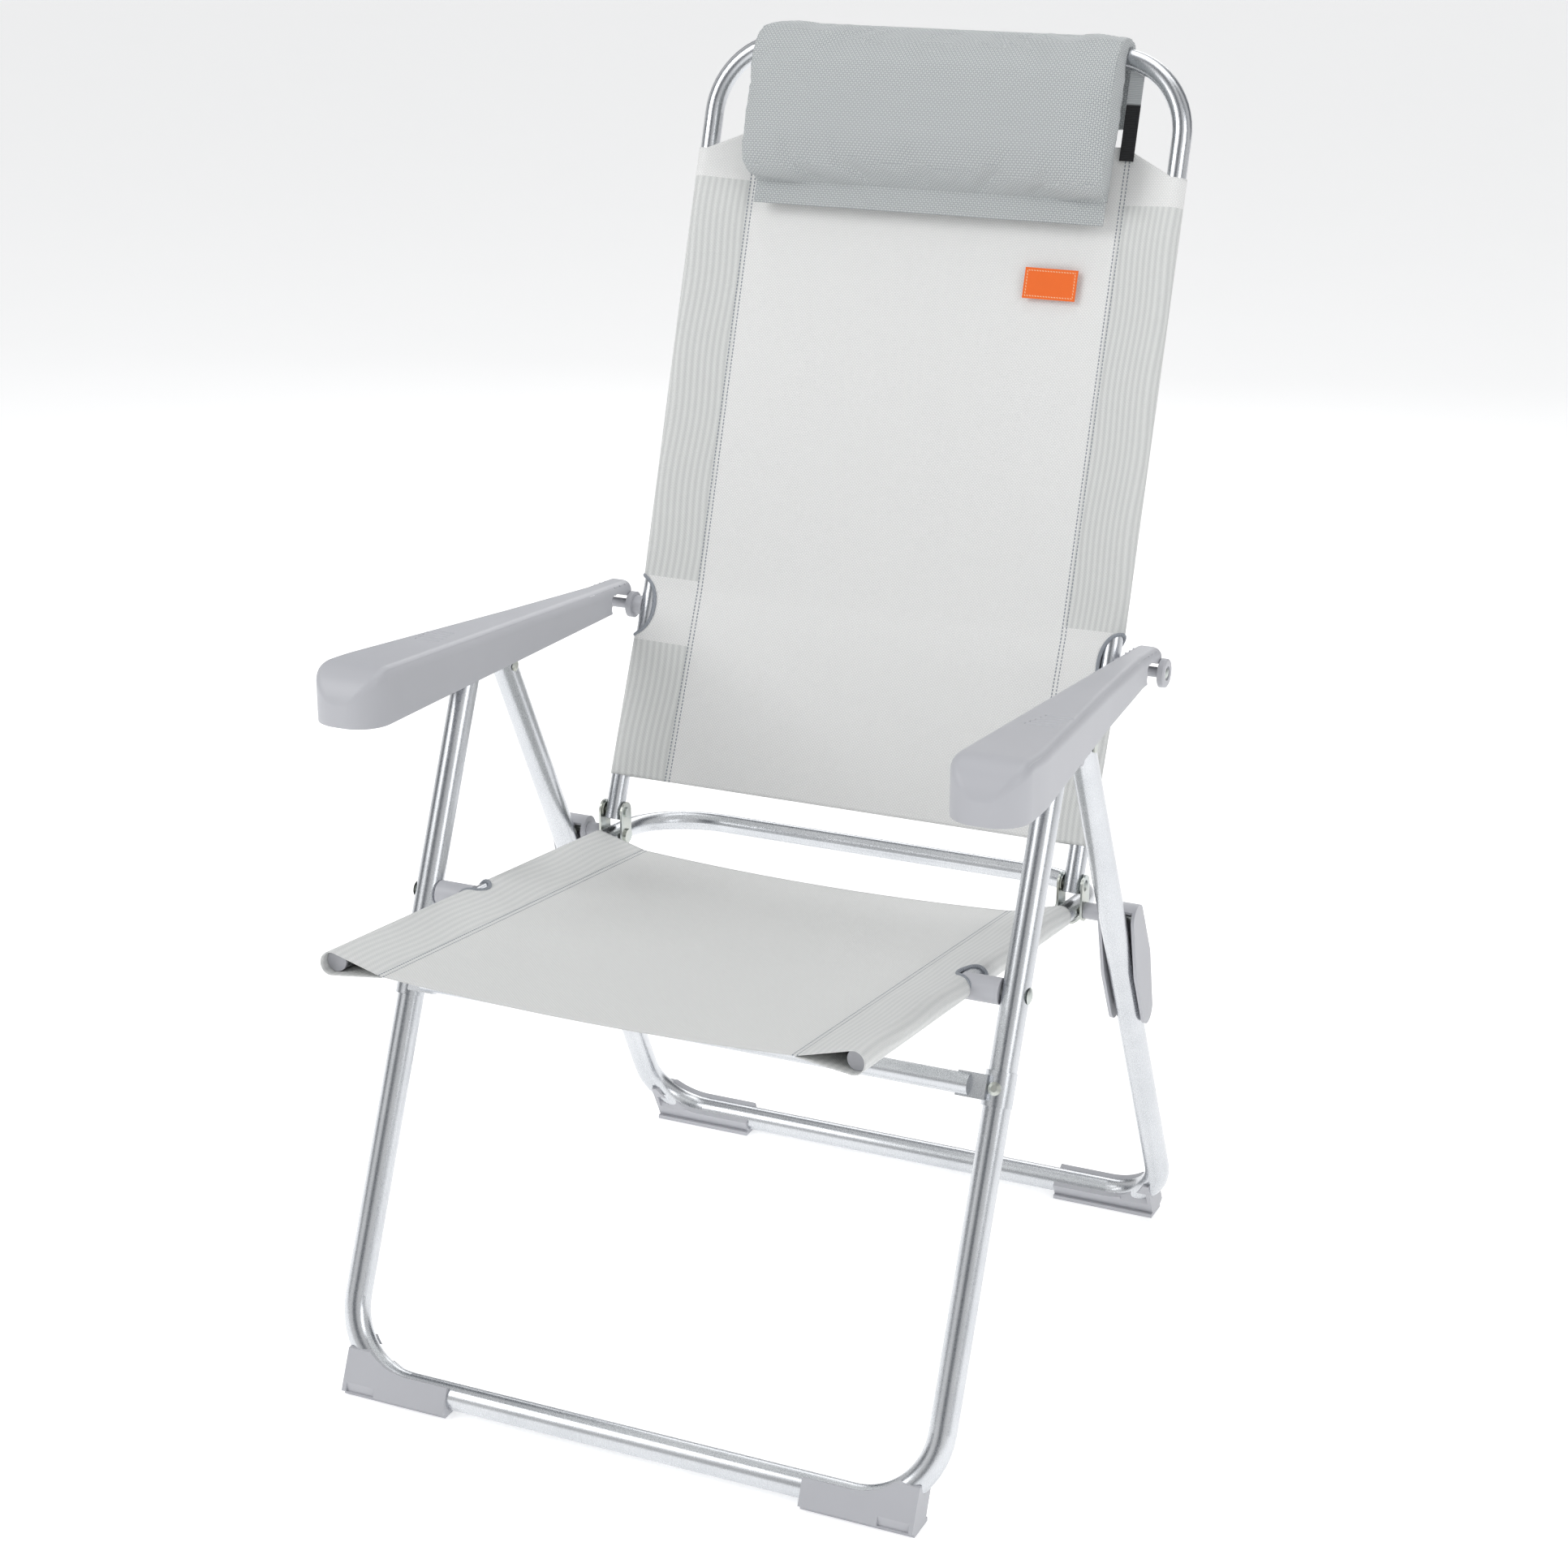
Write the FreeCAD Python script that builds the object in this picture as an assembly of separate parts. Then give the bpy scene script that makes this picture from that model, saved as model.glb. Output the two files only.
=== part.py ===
"""High-backed folding camp chair: aluminium tube frames, moulded armrests and mesh covers.

Millimetres, +Z up, the sitter faces -Y.  The origin is on the floor, under the middle of the
chair's overall width and depth.  It stands open and locked in its rearmost notch.
"""
import FreeCAD, Part
import os
from math import sin, cos, tan, atan2, radians, degrees, pi, hypot, acos

V = FreeCAD.Vector

# ---- overall sizes -------------------------------------------------------------------------
wheelbase = 650.0            # front floor rail to rear floor rail, centre to centre
rails_ahead = 21.8           # middle of the floor rails ahead of the middle of the whole chair
track = 591.0                # leg centre to leg centre across the chair
front_lean = 23.6            # front legs from vertical, degrees, leaning back as they rise
rear_lean = 27.6             # rear legs from vertical, degrees, leaning forward as they rise
leg_tube_d = 25.0
rail_tube_d = 19.0
tube_wall = 1.3
sole_t = 3.0                 # moulded sole under the floor rails
front_bend_r = 72.0
rear_bend_r = 60.0

# ---- side linkage --------------------------------------------------------------------------
seat_pivot_z = 433.6         # front leg pivot of the seat rail
seat_slope = 6.3             # seat rail falls to the rear, degrees
pin_behind_leg = 18.2        # guide pin behind the rear leg's centre line
link_len = 212.0             # seat pivot to armrest pin, and backrest pivot to armrest stud
bracket_rise = 25.0          # backrest pivot above the guide pin
rear_pin_rise = 12.1         # rear leg pin above the front leg pin, both inside the armrest
rail_inset = 48.5            # seat rails and backrest uprights inside the leg centres

# ---- seat ----------------------------------------------------------------------------------
seat_front_run = 233.0       # seat pivot to the front end of the rail
seat_rear_past = 100.5       # guide pin to the rear cross tube
seat_bend_r = 75.0
seat_cover_ahead = 13.0      # cover's front hem ahead of the rail ends
seat_cover_short = 33.5      # cover's rear hem short of the guide pin
cover_t = 2.4                # woven cover as a plain slab
cutout_in = 15.0             # side cutouts in both covers, inward from the tube
cutout_half = 22.0           # and along the tube each way from the rivet
spacer_d = 24.0
pin_spacer_d = 16.0

# ---- backrest ------------------------------------------------------------------------------
upper_lean = 18.2            # backrest above the armrests, degrees from vertical
back_top_z = 1172.0          # centre of the top bar
back_bend_r = 75.0
back_kink_above_stud = 22.0  # the uprights change slope this far above the stud
back_kink_r = 400.0
back_foot_run = 8.5          # upright below its pivot
back_cover_rise = 34.0       # cover's lower hem above the backrest pivot
back_cover_drop = 94.0       # cover's upper hem below the top bar

# ---- head cushion --------------------------------------------------------------------------
cushion_inset = 61.0         # cushion's ends inside the uprights
cushion_drop = 151.0         # cushion's lower edge below the top bar
cushion_depth = 44.0
cushion_wrap = 9.0
strap_gap = 2.0              # straps beside the cushion's ends
strap_width = 14.0
strap_t = 1.6
label_width = 54.0
label_height = 30.0
label_t = 0.6
label_inset = 84.0           # label's far edge inside the upright
label_drop = 210.0           # label's centre below the top bar

# ---- armrests ------------------------------------------------------------------------------
arm_inner_inset = 25.5       # inner wall's outer face inside the leg centre
arm_width_front = 70.0
arm_width_mid = 41.0
arm_width_rear = 28.0
arm_nose_run = 210.5         # front leg pin to the nose
arm_knee_run = 147.5         # front leg pin to where the armrest starts to narrow
arm_mid_run = 100.5          # front leg pin back to the middle width
arm_wall = 2.6
arm_low_front = 4.1          # lower edge of the walls above the front leg pin, at the nose
arm_low_rear = -2.3          # and above the stud, at the rear
arm_top_front = 58.1         # top face above the same two points
arm_top_rear = 23.7
arm_rear_over = 3.0          # shell runs past the stud
arm_top_r = 9.0
arm_brow_r = 36.0            # top face turning down into the nose
arm_brow_ahead = 0.5         # brow's round starts this far ahead, leaving a faint line across the nose
arm_nose_r = 30.0
arm_pin_d = 8.0
arm_boss_d = 15.0
groove_count = 5
groove_pitch = 9.0
groove_depth = 0.8

# ---- armrest stud and recline rack -----------------------------------------------------------
stud_d = 10.0
stud_cap_d = 28.0
stud_boss_d = 26.5
stud_cap_t = 6.5
notch_pitch = 12.0
notch_steps = 3
rib_t = 2.0

# ---- hardware ------------------------------------------------------------------------------
guide_pin_d = 9.0
rivet_d = 6.0
rivet_head_d = 12.0
rivet_head_t = 2.2
rivet_tail_t = 1.5
rivet_tail_share = 0.42      # clinched end's radius as a share of the head's diameter
plate_t = 2.0
washer_t = 1.4
bracket_r = 10.5
cross_rail_drop = 76.6       # cross rail below the seat pivot
cross_rail_ahead = 6.0       # cross rail centre ahead of the leg's front face
saddle_half = 15.5           # saddle on the leg, half its length

# ---- guide on the rear leg -------------------------------------------------------------------
guide_wall = 3.2
guide_gap = 2.4              # leg to cheek, each side
guide_run = 118.0            # guide pin to the lower end, along the leg

# ---- fits ----------------------------------------------------------------------------------
turn_fit = 0.05              # radial, pin in hole
seat_fit = 0.05              # radial, moulding on a tube of the same body
side_gap = 0.3               # between faces that turn past each other
soft_gap = 0.3               # cover to tube
rack_gap = 0.6               # rib tips above the stud's path

# ---- derived places in the side plane (y, z) ---------------------------------------------------
half_track = track / 2
rail_half = half_track - rail_inset
arm_inner = half_track - arm_inner_inset
leg_r = leg_tube_d / 2
rail_r = rail_tube_d / 2
rail_z = sole_t + leg_r
fl, rl = radians(front_lean), radians(rear_lean)
sl, ul = radians(seat_slope), radians(upper_lean)
up_front = V(0, sin(fl), cos(fl))
up_rear = V(0, -sin(rl), cos(rl))
aft_seat = V(0, cos(sl), -sin(sl))
up_back = V(0, sin(ul), cos(ul))
front_foot = V(0, -wheelbase / 2 - rails_ahead, rail_z)
rear_foot = V(0, wheelbase / 2 - rails_ahead, rail_z)
seat_pivot = front_foot + up_front * ((seat_pivot_z - rail_z) / cos(fl))
arm_pivot = seat_pivot + up_front * link_len
behind_rear = V(0, cos(rl), sin(rl))
guide_pin_run = ((rear_foot - seat_pivot).dot(behind_rear) + pin_behind_leg) / aft_seat.dot(behind_rear)
guide_pin = seat_pivot + aft_seat * guide_pin_run
back_pivot = guide_pin + V(0, 0, bracket_rise)
stud = back_pivot + up_front * link_len
rear_pin = rear_foot + up_rear * ((arm_pivot.z + rear_pin_rise - rail_z) / cos(rl))
kink = stud + up_front * back_kink_above_stud
back_top = kink + up_back * ((back_top_z - kink.z) / cos(ul))
arm_nose_y = arm_pivot.y - arm_nose_run
arm_rear_y = stud.y + arm_rear_over
X = V(1, 0, 0)


def cyl(r, x0, x1, at):
    """Round bar along X through a point of the side plane."""
    return Part.makeCylinder(r, x1 - x0, V(x0, at.y, at.z), X)


def bent_bar(points, bend_r, r):
    """Round bar along straight runs joined by tangent arcs of one radius."""
    edges = []
    last = points[0]
    for a, b, c in zip(points, points[1:], points[2:]):
        u, w = (a - b).normalize(), (c - b).normalize()
        half = acos(max(-1.0, min(1.0, u.dot(w)))) / 2
        if abs(half - pi / 2) < 1e-6:
            continue
        back = bend_r / tan(half)
        mid = (u + w).normalize() * (bend_r / sin(half) - bend_r)
        edges.append(Part.makeLine(last, b + u * back))
        edges.append(Part.Arc(b + u * back, b + mid, b + w * back).toShape())
        last = b + w * back
    edges.append(Part.makeLine(last, points[-1]))
    path = Part.Wire(edges)
    ring = Part.Wire(Part.makeCircle(r, points[0], points[1] - points[0]))
    return path.makePipeShell([ring], True, False)


def tube(points, bend_r, d, wall=tube_wall):
    """Bent tube with its bore open at both ends."""
    return bent_bar(points, bend_r, d / 2).cut(bent_bar(points, bend_r, d / 2 - wall))


def belt(circles):
    """Face in the YZ plane: discs joined by their outer tangents."""
    face = None
    for (p, r), (q, s) in zip(circles, circles[1:]):
        d = hypot(q.y - p.y, q.z - p.z)
        base = atan2(q.z - p.z, q.y - p.y)
        turn = acos((r - s) / d)
        ring = []
        for side, order in ((1, ((p, r), (q, s))), (-1, ((q, s), (p, r)))):
            for c, rad in order:
                a = base + side * turn
                ring.append(V(0, c.y + rad * cos(a), c.z + rad * sin(a)))
        quad = Part.Face(Part.makePolygon(ring + ring[:1]))
        discs = [Part.Face(Part.Wire(Part.makeCircle(k, c, X))) for c, k in ((p, r), (q, s))]
        face = quad.multiFuse(discs if face is None else discs + [face])
    return face.removeSplitter()


def slab(face, x0, x1):
    """Side outline given thickness across the chair."""
    solid = face.extrude(V(x1 - x0, 0, 0))
    solid.translate(V(x0, 0, 0))
    return solid


def panel(ring, x0, x1):
    """Closed polygon of (y, z) points given thickness across the chair."""
    pts = [V(0, y, z) for y, z in ring]
    return slab(Part.Face(Part.makePolygon(pts + pts[:1])), x0, x1)


def mirrored(shape):
    return shape.mirror(V(0, 0, 0), X)


def pair(name, right):
    """Write a handed piece once for each side of the chair."""
    write(name + "_right", right)
    write(name + "_left", mirrored(right))


def both(right):
    return [right, mirrored(right)]


def write(name, shape):
    solids = shape if isinstance(shape, list) else shape.Solids
    out = solids[0] if len(solids) == 1 else Part.makeCompound(solids)
    if not out.isValid():
        raise ValueError(name + " is not a valid solid")
    out.exportStep("parts/" + name + ".step")


def turned(at, x_profile):
    """Solid turned about the X axis through a point, from (x, radius) points or an arc's three."""
    edges, last = [], None
    for step in x_profile:
        pts = [V(x, at.y, at.z + r) for x, r in step]
        if last is not None and (pts[0] - last).Length > 1e-6:
            edges.append(Part.makeLine(last, pts[0]))
        if len(pts) == 3:
            edges.append(Part.Arc(*pts).toShape())
        last = pts[-1]
    start = V(x_profile[0][0][0], at.y, at.z + x_profile[0][0][1])
    edges.append(Part.makeLine(last, start))
    return Part.Face(Part.Wire(edges)).revolve(V(0, at.y, at.z), X, 360)


def rivet(at, x_head, x_tail, d, head=rivet_head_d):
    """Rivet along X with a domed head outside x_head and a flat one outside x_tail."""
    out = 1 if x_head > x_tail else -1
    dome_r = (head * head / 4 + rivet_head_t ** 2) / (2 * rivet_head_t)
    middle = x_head + out * (rivet_head_t - dome_r)
    half = acos((dome_r - rivet_head_t) / dome_r) / 2
    dome = [(x_head + out * rivet_head_t, 0), (middle + out * dome_r * cos(half), dome_r * sin(half)),
            (x_head, head / 2)]
    tail = head * rivet_tail_share
    end = x_tail - out * rivet_tail_t
    return turned(at, [dome, [(x_head, d / 2)], [(x_tail, d / 2)], [(x_tail, tail)],
                       [(end, tail)], [(end, 0)]])


# ---- floor frames --------------------------------------------------------------------------
def leg_frame(foot, up, top_run, bend_r):
    ends = [foot + up * top_run, foot]
    pts = [V(-half_track, p.y, p.z) for p in ends]
    pts += [V(half_track, p.y, p.z) for p in reversed(ends)]
    return pts, tube(pts, bend_r, leg_tube_d)


def foot_shell(foot, up, bend_r):
    """Moulded shoe under one floor bend: flat sole, upright end wall, saddle and web."""
    inner_x, outer_x = half_track - 116.0, half_track - 7.5
    rim = 2.2
    width = leg_tube_d + 2 * rim
    corner = half_track - bend_r
    low = foot - up * (rail_z / up.z)
    rise = 43.0
    normal = X.cross(up)

    def plate(grow, lift, x0, x1):
        """Plate in the plane of the frame, below the bend's centre line."""
        arc_c = V(corner, foot.y, foot.z) + up * bend_r
        r = bend_r - lift
        start = V(x0, foot.y, foot.z) + up * lift
        turn = V(corner, foot.y, foot.z) + up * lift
        mid = arc_c + (X - up) * (r / 2 ** 0.5)
        side = arc_c + X * r
        wall = [side, V(x1, side.y, side.z), V(x1, low.y, low.z), V(x0, low.y, low.z), start]
        edges = [Part.makeLine(start, turn), Part.Arc(turn, mid, side).toShape()]
        if (wall[1] - wall[0]).Length < 1e-6:
            wall = wall[1:]
        edges += [Part.makeLine(a, b) for a, b in zip(wall, wall[1:])]
        face = Part.Face(Part.Wire(Part.__sortEdges__(edges)))
        body = face.extrude(normal * (2 * grow))
        body.translate(normal * -grow)
        return body

    block = plate(width / 2, 8.5, inner_x, corner + bend_r)
    keep = Part.makeBox(outer_x - inner_x, 90, rise, V(inner_x, foot.y - 45, 0))
    block = block.common(keep)
    sole = Part.makeBox(outer_x - inner_x, width, sole_t + 1.0, V(inner_x, foot.y - width / 2, 0))
    block = block.fuse(sole)
    bar = bent_bar([V(0, foot.y, foot.z), V(half_track, foot.y, foot.z),
                    V(half_track, foot.y, foot.z) + up * 200], bend_r, leg_r + seat_fit)
    block = block.cut(bar)
    pocket = Part.makeBox(30.0, 8.0, rise, V(outer_x - 34.0, foot.y - width / 2 - 10.0, 5.0))
    far = Part.makeBox(30.0, 8.0, rise, V(outer_x - 34.0, foot.y + width / 2 + 2.0, 5.0))
    return block.cut(pocket.fuse(far)).removeSplitter()


def tube_hole(at, d, x0=0.0, x1=None):
    """Drill through one right-hand tube and its mirror image."""
    drill = cyl(d / 2 + turn_fit, x0, half_track + 40 if x1 is None else x1, at)
    return drill.fuse(mirrored(drill))


front_top_run = (arm_pivot - front_foot).Length + 13.0
rear_top_run = (rear_pin - rear_foot).Length - 15.0
rear_rivet = rear_foot + up_rear * (rear_top_run - 14.0)
cross_leg = seat_pivot - up_front * (cross_rail_drop / cos(fl))
cross_fwd = V(0, -cos(fl), sin(fl))
cross_rail = cross_leg + cross_fwd * (leg_r + cross_rail_ahead)

front_pts, front_frame = leg_frame(front_foot, up_front, front_top_run, front_bend_r)
rear_pts, rear_frame = leg_frame(rear_foot, up_rear, rear_top_run, rear_bend_r)
front_frame = front_frame.cut(tube_hole(arm_pivot, arm_pin_d)).cut(tube_hole(seat_pivot, arm_pin_d))
rear_frame = rear_frame.cut(tube_hole(rear_rivet, rivet_d))


def cross_bar():
    """Front cross tube with its ends pressed into saddles round the front of the legs."""
    end_x = half_track - leg_r - 9.0
    bar = cyl(rail_r, -end_x, end_x, cross_rail)
    bar = bar.cut(cyl(rail_r - tube_wall, -end_x + 14, end_x - 14, cross_rail))
    a = cross_leg - up_front * saddle_half
    outer = Part.makeCylinder(leg_r + plate_t + 0.2, 2 * saddle_half, V(half_track, a.y, a.z), up_front)
    near = V(0, cross_leg.y, cross_leg.z) + cross_fwd * 2.0
    ahead = [near - up_front * 60, near + up_front * 60]
    ahead += [p + cross_fwd * 60 for p in reversed(ahead)]
    cup = outer.common(panel([(p.y, p.z) for p in ahead], half_track - 30, half_track + 30))
    tongue = up_front * (rail_r + 1.5)
    face, rear = cross_rail + cross_fwd * 1.5, cross_rail - cross_fwd * 6.5
    flat = panel([(p.y, p.z) for p in (face + tongue, face - tongue, rear - tongue, rear + tongue)],
                 end_x - 12, half_track - rivet_head_d / 2 - 0.4)
    leg = bent_bar(front_pts, front_bend_r, leg_r + seat_fit)
    side = cup.fuse(flat)
    drill = Part.makeCylinder(rivet_d / 2 + turn_fit, 40, V(half_track, cross_leg.y, cross_leg.z), cross_fwd)
    side = side.cut(drill)
    return bar.multiFuse([side, mirrored(side)]).cut(leg).removeSplitter(), drill


cross_bar_solid, cross_drill = cross_bar()
for hole in both(cross_drill):
    front_frame = front_frame.cut(hole)


def cross_rivet():
    base = V(half_track, cross_leg.y, cross_leg.z)
    skin = leg_r + plate_t + 0.2
    shank = Part.makeCylinder(rivet_d / 2, 10.0, base + cross_fwd * (skin - 8.0), cross_fwd)
    head = Part.makeCylinder(rivet_head_d / 2, 1.0, base + cross_fwd * skin, cross_fwd)
    cap = Part.makeCone(rivet_head_d / 2, rivet_d / 2, 1.4, base + cross_fwd * (skin + 1.0), cross_fwd)
    return shank.multiFuse([head, cap]).removeSplitter()


# ---- seat ----------------------------------------------------------------------------------
def seat_points():
    front = seat_pivot - aft_seat * seat_front_run
    rear = guide_pin + aft_seat * seat_rear_past
    pts = [V(-rail_half, front.y, front.z), V(-rail_half, rear.y, rear.z)]
    return pts + [V(rail_half, p.y, p.z) for p in (rear, front)]


seat_frame = tube(seat_points(), seat_bend_r, rail_tube_d)
rail_drill = cyl(arm_pin_d / 2 + turn_fit, rail_half - 20, rail_half + 20, seat_pivot)
rail_drill = rail_drill.fuse(cyl(guide_pin_d / 2 + turn_fit, rail_half - 20, rail_half + 20, guide_pin))
seat_frame = seat_frame.cut(rail_drill).cut(mirrored(rail_drill))


def rail_cap():
    """Push-in cap at the front end of a seat rail."""
    end = seat_pivot - aft_seat * seat_front_run
    at = V(rail_half, end.y, end.z)
    plug = Part.makeCylinder(rail_r - tube_wall - seat_fit, 14.0, at, aft_seat)
    return plug.fuse(Part.makeCylinder(rail_r, 3.0, at - aft_seat * 3.0, aft_seat)).removeSplitter()


def spacer(at, d, x0, x1, bore):
    """Moulded spacer that hugs the seat rail and stops short of the leg."""
    body = cyl(d / 2, x0, x1, at).cut(cyl(bore / 2 + turn_fit, x0, x1, at))
    start = seat_pivot - aft_seat * 200
    rail = Part.makeCylinder(rail_r + seat_fit, 700, V(rail_half, start.y, start.z), aft_seat)
    return body.cut(rail)


def hinge_bracket():
    """Pressed zinc bracket: a cheek each side of the rail, joined under it."""
    inner = rail_r + washer_t + 0.1
    outer = inner + plate_t
    ring = Part.makeCylinder(outer, 2 * bracket_r, V(rail_half, guide_pin.y, guide_pin.z)
                             - aft_seat * bracket_r, aft_seat)
    ring = ring.cut(Part.makeCylinder(inner, 2 * bracket_r, V(rail_half, guide_pin.y, guide_pin.z)
                                      - aft_seat * bracket_r, aft_seat))
    below = Part.makeBox(60, 80, 40, V(rail_half - 30, guide_pin.y - 40, guide_pin.z - 40))
    body = ring.common(below)
    face = belt([(guide_pin, bracket_r), (back_pivot, bracket_r)])
    for x0 in (rail_half - outer, rail_half + inner):
        body = body.fuse(slab(face, x0, x0 + plate_t))
    body = body.cut(cyl(guide_pin_d / 2 + turn_fit, rail_half - 30, rail_half + 30, guide_pin))
    return body.cut(cyl(rivet_d / 2 + turn_fit, rail_half - 30, rail_half + 30, back_pivot)).removeSplitter()


bracket_outer = rail_r + washer_t + 0.1 + plate_t
guide_in = half_track - leg_r - guide_gap - guide_wall
guide_out = half_track + leg_r + guide_gap + guide_wall
cover_front = seat_pivot - aft_seat * (seat_front_run + seat_cover_ahead)
cover_rear = guide_pin - aft_seat * seat_cover_short


def cutouts(at, along):
    """Openings in a cover beside a rivet, one at each edge."""
    side = X.cross(along)
    ring = [at + along * (i * cutout_half) + side * (j * 30.0)
            for i, j in ((-1, -1), (1, -1), (1, 1), (-1, 1))]
    edge = rail_half - rail_r
    bite = panel([(p.y, p.z) for p in ring], edge - cutout_in, edge + 10.0)
    return bite.fuse(mirrored(bite))


def seat_cover():
    """Woven seat between the rails, as a plain slab a little below their tops."""
    lift = V(0, sin(sl), cos(sl)) * 1.0
    thick = V(0, sin(sl), cos(sl)) * cover_t
    a, b = cover_front + lift, cover_rear + lift
    half = rail_half - rail_r - soft_gap
    slab_all = panel([(p.y, p.z) for p in (a, b, b + thick, a + thick)], -half, half)
    return slab_all.cut(cutouts(seat_pivot, aft_seat))


# ---- guide that slides on the rear leg -----------------------------------------------------------
def slide_guide():
    """Channel hung on the guide pin: two cheeks astride the rear leg, joined behind it."""
    down = up_rear * -1
    behind = V(0, cos(rl), sin(rl))
    leg_axis = rear_pin + down * ((guide_pin - rear_pin).dot(down))

    def at(run, off):
        return leg_axis + down * run + behind * off

    pin_off = (guide_pin - leg_axis).dot(behind)
    shape = [(at(0, pin_off), 14.0), (at(guide_run * 0.5, 12.0), 21.0), (at(guide_run, 4.5), 13.5)]
    shell = slab(belt(shape), guide_in, guide_out)
    cavity = belt([(p, r - guide_wall) for p, r in shape])
    hollow = slab(cavity, guide_in + guide_wall, guide_out - guide_wall)
    ahead = hollow.copy()
    ahead.translate(behind * -40)
    sweep = Part.Face(Part.makePolygon([at(-30, -45), at(-30, 13.1), at(guide_run + 40, 13.1),
                                        at(guide_run + 40, -45), at(-30, -45)]))
    lane = slab(sweep, guide_in + guide_wall, guide_out - guide_wall)
    shell = shell.cut(hollow.multiFuse([ahead, lane]))
    neck = cyl(8.5, guide_out - guide_wall - 1.5, guide_out - 0.5, guide_pin)
    shell = shell.fuse(neck)
    return shell.cut(cyl(guide_pin_d / 2 + turn_fit, guide_in - 1, guide_out - 1.6, guide_pin)).removeSplitter()


# ---- backrest ------------------------------------------------------------------------------
def back_bar(r):
    """Upright pair with a top bar: a gentle kink low down and round top corners."""
    reach = back_kink_r * tan((fl - ul) / 2)
    bow = (up_back - up_front).normalize() * (back_kink_r / cos((fl - ul) / 2) - back_kink_r)
    halves = []
    for s in (-1, 1):
        side = X * (s * rail_half)
        foot = back_pivot - up_front * back_foot_run + side
        lo, mid, hi = kink - up_front * reach + side, kink + bow + side, kink + up_back * reach + side
        corner = back_top + side
        below, along = corner - up_back * back_bend_r, corner - X * (s * back_bend_r)
        round_mid = corner - (X * s + up_back) * (back_bend_r * (1 - 0.5 ** 0.5))
        halves.append((foot, lo, mid, hi, below, round_mid, along))
    (a0, a1, a2, a3, a4, a5, a6), (b0, b1, b2, b3, b4, b5, b6) = halves
    edges = [Part.makeLine(a0, a1), Part.Arc(a1, a2, a3).toShape(), Part.makeLine(a3, a4),
             Part.Arc(a4, a5, a6).toShape(), Part.makeLine(a6, b6), Part.Arc(b6, b5, b4).toShape(),
             Part.makeLine(b4, b3), Part.Arc(b3, b2, b1).toShape(), Part.makeLine(b1, b0)]
    ring = Part.Wire(Part.makeCircle(r, a0, up_front))
    return Part.Wire(edges).makePipeShell([ring], True, False)


back_frame = back_bar(rail_r).cut(back_bar(rail_r - tube_wall))
back_drill = cyl(rivet_d / 2 + turn_fit, rail_half - 20, rail_half + 20, back_pivot)
back_drill = back_drill.fuse(cyl(rivet_d / 2 + turn_fit, rail_half - 20, rail_half + 20, stud))
back_frame = back_frame.cut(back_drill).cut(mirrored(back_drill))


def back_cover():
    """Woven back between the uprights, following their kink."""
    lean_low, lean_up = V(0, -cos(fl), sin(fl)), V(0, -cos(ul), sin(ul))
    a = back_pivot + up_front * (back_cover_rise / cos(fl))
    b = kink
    c = back_top - up_back * (back_cover_drop / cos(ul))
    half = rail_half - rail_r - soft_gap
    ring = [a, b, c, c + lean_up * cover_t, b + lean_up * cover_t, a + lean_low * cover_t]
    slab_all = panel([(p.y, p.z) for p in ring], -half, half)
    return slab_all.cut(cutouts(stud, up_front))


def below_top(drop):
    """Point of the upper backrest's centre line this far below the top bar."""
    return back_top - up_back * (drop / cos(ul))


ahead_up = V(0, -cos(ul), sin(ul))


def head_cushion():
    """Padded cushion: a block ahead of the top bar that wraps over and behind it."""
    lo, hi = below_top(cushion_drop), back_top
    near = rail_r + soft_gap
    cushion_half = rail_half - cushion_inset
    ring = [lo + ahead_up * near, hi + ahead_up * near, hi + ahead_up * (near + cushion_depth),
            lo + ahead_up * (near + cushion_depth)]
    block = panel([(p.y, p.z) for p in ring], -cushion_half, cushion_half)
    roll = cyl(near + cushion_wrap, -cushion_half, cushion_half, back_top)
    rear = back_top - up_back * 70
    flap = [back_top - ahead_up * near, back_top - ahead_up * (near + cushion_wrap),
            rear - ahead_up * (near + cushion_wrap), rear - ahead_up * near]
    flap = panel([(p.y, p.z) for p in flap], -cushion_half, cushion_half)
    over = panel([(p.y, p.z) for p in (
        hi + ahead_up * (near + cushion_depth), hi, hi + up_back * (near + cushion_wrap),
        hi + up_back * (near + cushion_wrap) + ahead_up * cushion_depth * 0.5)],
        -cushion_half, cushion_half)
    solid = block.multiFuse([roll, flap, over])
    below = [back_top - ahead_up * near, back_top + ahead_up * near,
             lo + ahead_up * near - up_back * 20, lo - ahead_up * near - up_back * 20]
    slot = panel([(p.y, p.z) for p in below], -cushion_half - 1, cushion_half + 1)
    return solid.cut(slot).cut(back_bar(near)).removeSplitter()


def cover_strap():
    """Strap beside the cushion, from the back cover's upper hem to the top bar."""
    half = ahead_up * (strap_t / 2)
    lo = below_top(back_cover_drop - soft_gap)
    hi = below_top(rail_r + 2 * soft_gap)
    ring = [lo - half, hi - half, hi + half, lo + half]
    x0 = rail_half - cushion_inset + strap_gap
    strap = panel([(p.y, p.z) for p in ring], x0, x0 + strap_width)
    return strap.cut(back_bar(rail_r + soft_gap))


def back_label():
    """Blank sewn label on the front of the back cover."""
    lo = below_top(label_drop + label_height / 2) + ahead_up * (cover_t + 0.05)
    hi = lo + up_back * label_height
    ring = [lo, hi, hi + ahead_up * label_t, lo + ahead_up * label_t]
    x1 = rail_half - label_inset
    return panel([(p.y, p.z) for p in ring], x1 - label_width, x1)


# ---- armrests ------------------------------------------------------------------------------
def stud_at(turn):
    """Stud centre after the backrest turns forward about its pivot, degrees."""
    a = fl - radians(turn)
    return back_pivot + V(0, sin(a), cos(a)) * link_len


step_turn = degrees(notch_pitch / link_len)


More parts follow.
